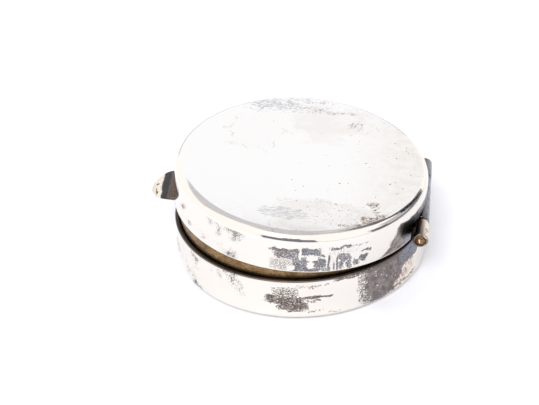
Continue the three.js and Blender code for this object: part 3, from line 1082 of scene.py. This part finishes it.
def make_bearer():
    """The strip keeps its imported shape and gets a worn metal."""
    node = frame["nodes"]["lid_hinge_bearer"]
    node.data.materials.clear()
    tones = BEARER_SILVER, BEARER_SILVER, BEARER_BROWN
    node.data.materials.append(worn_silver("bearer_silver", True, *tones))


# ---------------------------------------------------------------- studio

FLOOR_HALF = 3.0
FLOOR_COLOUR = rgb(245, 246, 251)
FLOOR_GLOW = 0.06
WORLD_STRENGTH = 1.2
CARD_DISTANCE = 0.9
CARD_ACROSS = 24
CARD_UP = 6
CAMERA_AZIMUTH = 5.7
CAMERA_ELEVATION = 35.72
CAMERA_DISTANCE = 280.4 * MM
CAMERA_ROLL = -3.02
AIM_ACROSS = -3.79 * MM
AIM_Z = 6.62 * MM
FOCAL_OVER_WIDTH = 4.163
SENSOR_WIDTH_MM = 36.0
# What the polished silver mirrors: azimuths and elevations of each card, and its colour
CARDS = {
    "front_low": ((-26, 19), (0.0, 24), rgb(126, 124, 132)),
    "front_high": ((-8, 8), (22, 35), rgb(166, 164, 170)),
    "horizon": ((19, 68), (0.5, 3.5), rgb(206, 205, 212)),
    "side_dark": ((66, 84), (0.0, 22), rgb(120, 119, 127)),
    "side_low": ((84, 112), (0.0, 15), rgb(150, 149, 155)),
    "side_high": ((84, 112), (14, 36), rgb(206, 203, 202)),
    "rear_post": ((112, 131), (0.0, 50), rgb(136, 135, 140)),
    "rear_bar": ((108, 156), (50, 64), rgb(140, 138, 141)),
    "far_horizon": ((166, 216), (0.5, 9), rgb(200, 202, 214)),
    "rear_grey": ((164, 262), (41, 64), rgb(216, 213, 210)),
    "ceiling_edge": ((100, 262), (64, 76), rgb(216, 213, 210)),
    "ceiling": ((0, 360), (76, 90), rgb(216, 213, 210)),
}


def stage_material(name, colour, roughness, glow=0.0):
    material = bpy.data.materials.new(name)
    material.use_nodes = True
    surface = material.node_tree.nodes["Principled BSDF"]
    surface.inputs["Base Color"].default_value = colour
    surface.inputs["Roughness"].default_value = roughness
    surface.inputs["Emission Color"].default_value = (1, 1, 1, 1)
    surface.inputs["Emission Strength"].default_value = glow
    return material


def make_floor():
    bm = bmesh.new()
    bmesh.ops.create_grid(bm, x_segments=4, y_segments=4, size=FLOOR_HALF)
    material = stage_material("floor", FLOOR_COLOUR, 0.5, FLOOR_GLOW)
    floor = mesh_object("floor", finished_mesh("floor", bm), material)


def direction(azimuth, elevation):
    """A unit vector towards an azimuth and an elevation, both in degrees."""
    a, e = math.radians(azimuth), math.radians(elevation)
    return Vector((math.cos(a) * math.cos(e), math.sin(a) * math.cos(e), math.sin(e)))


def make_card(name, azimuths, elevations, colour):
    """A curved card round the box, between two azimuths and two elevations."""
    bm = bmesh.new()
    rows = []
    for j in range(CARD_UP + 1):
        elevation = elevations[0] + (elevations[1] - elevations[0]) * j / CARD_UP
        row = []
        for i in range(CARD_ACROSS + 1):
            azimuth = azimuths[0] + (azimuths[1] - azimuths[0]) * i / CARD_ACROSS
            row.append(bm.verts.new(direction(azimuth, elevation) * CARD_DISTANCE))
        rows.append(row)
    for lower, upper in zip(rows, rows[1:]):
        for i in range(CARD_ACROSS):
            bm.faces.new((lower[i], lower[i + 1], upper[i + 1], upper[i]))
    card = mesh_object(name, finished_mesh(name, bm), stage_material(name, colour, 1.0))
    card.visible_camera = False


def make_softbox(name, azimuth, elevation, distance, size, power):
    """A round area light that faces the box."""
    light = bpy.data.lights.new(name, "AREA")
    light.shape = "DISK"
    light.size = size
    light.energy = power
    lamp = bpy.data.objects.new(name, light)
    away = direction(azimuth, elevation)
    lamp.location = away * distance
    lamp.rotation_euler = away.to_track_quat("Z", "Y").to_euler()
    bpy.context.scene.collection.objects.link(lamp)


def make_world():
    world = bpy.data.worlds.new("studio")
    bpy.context.scene.world = world
    world.use_nodes = True
    background = world.node_tree.nodes["Background"]
    background.inputs["Color"].default_value = (1, 1, 1, 1)
    background.inputs["Strength"].default_value = WORLD_STRENGTH


def make_camera():
    """The camera circles the origin and looks at a point a little to its left, above it."""
    data = bpy.data.cameras.new("camera")
    data.sensor_width = SENSOR_WIDTH_MM
    data.lens = FOCAL_OVER_WIDTH * SENSOR_WIDTH_MM
    data.clip_start = 10 * MM
    data.clip_end = 20.0
    camera = bpy.data.objects.new("camera", data)
    bpy.context.scene.collection.objects.link(camera)
    place = direction(CAMERA_AZIMUTH, CAMERA_ELEVATION) * CAMERA_DISTANCE
    rightwards = direction(CAMERA_AZIMUTH + 90, 0)
    aim = rightwards * AIM_ACROSS + Vector((0, 0, AIM_Z))
    turn = (place - aim).to_track_quat("Z", "Y").to_matrix().to_4x4()
    camera.matrix_world = (
        Matrix.Translation(place) @ turn @ Matrix.Rotation(math.radians(CAMERA_ROLL), 4, "Z")
    )
    bpy.context.scene.camera = camera


def make_studio():
    make_floor()
    for name, (azimuths, elevations, colour) in CARDS.items():
        make_card(name, azimuths, elevations, colour)
    make_softbox(
        "front", azimuth=CAMERA_AZIMUTH - 16, elevation=50, distance=0.75, size=0.3, power=2.0
    )
    make_world()
    bpy.context.scene.view_settings.view_transform = "Standard"


make_camera()
make_base_pan()
make_collar()
make_lid_pan()
make_knuckles()
make_pin()
make_tab()
make_bearer()
make_studio()
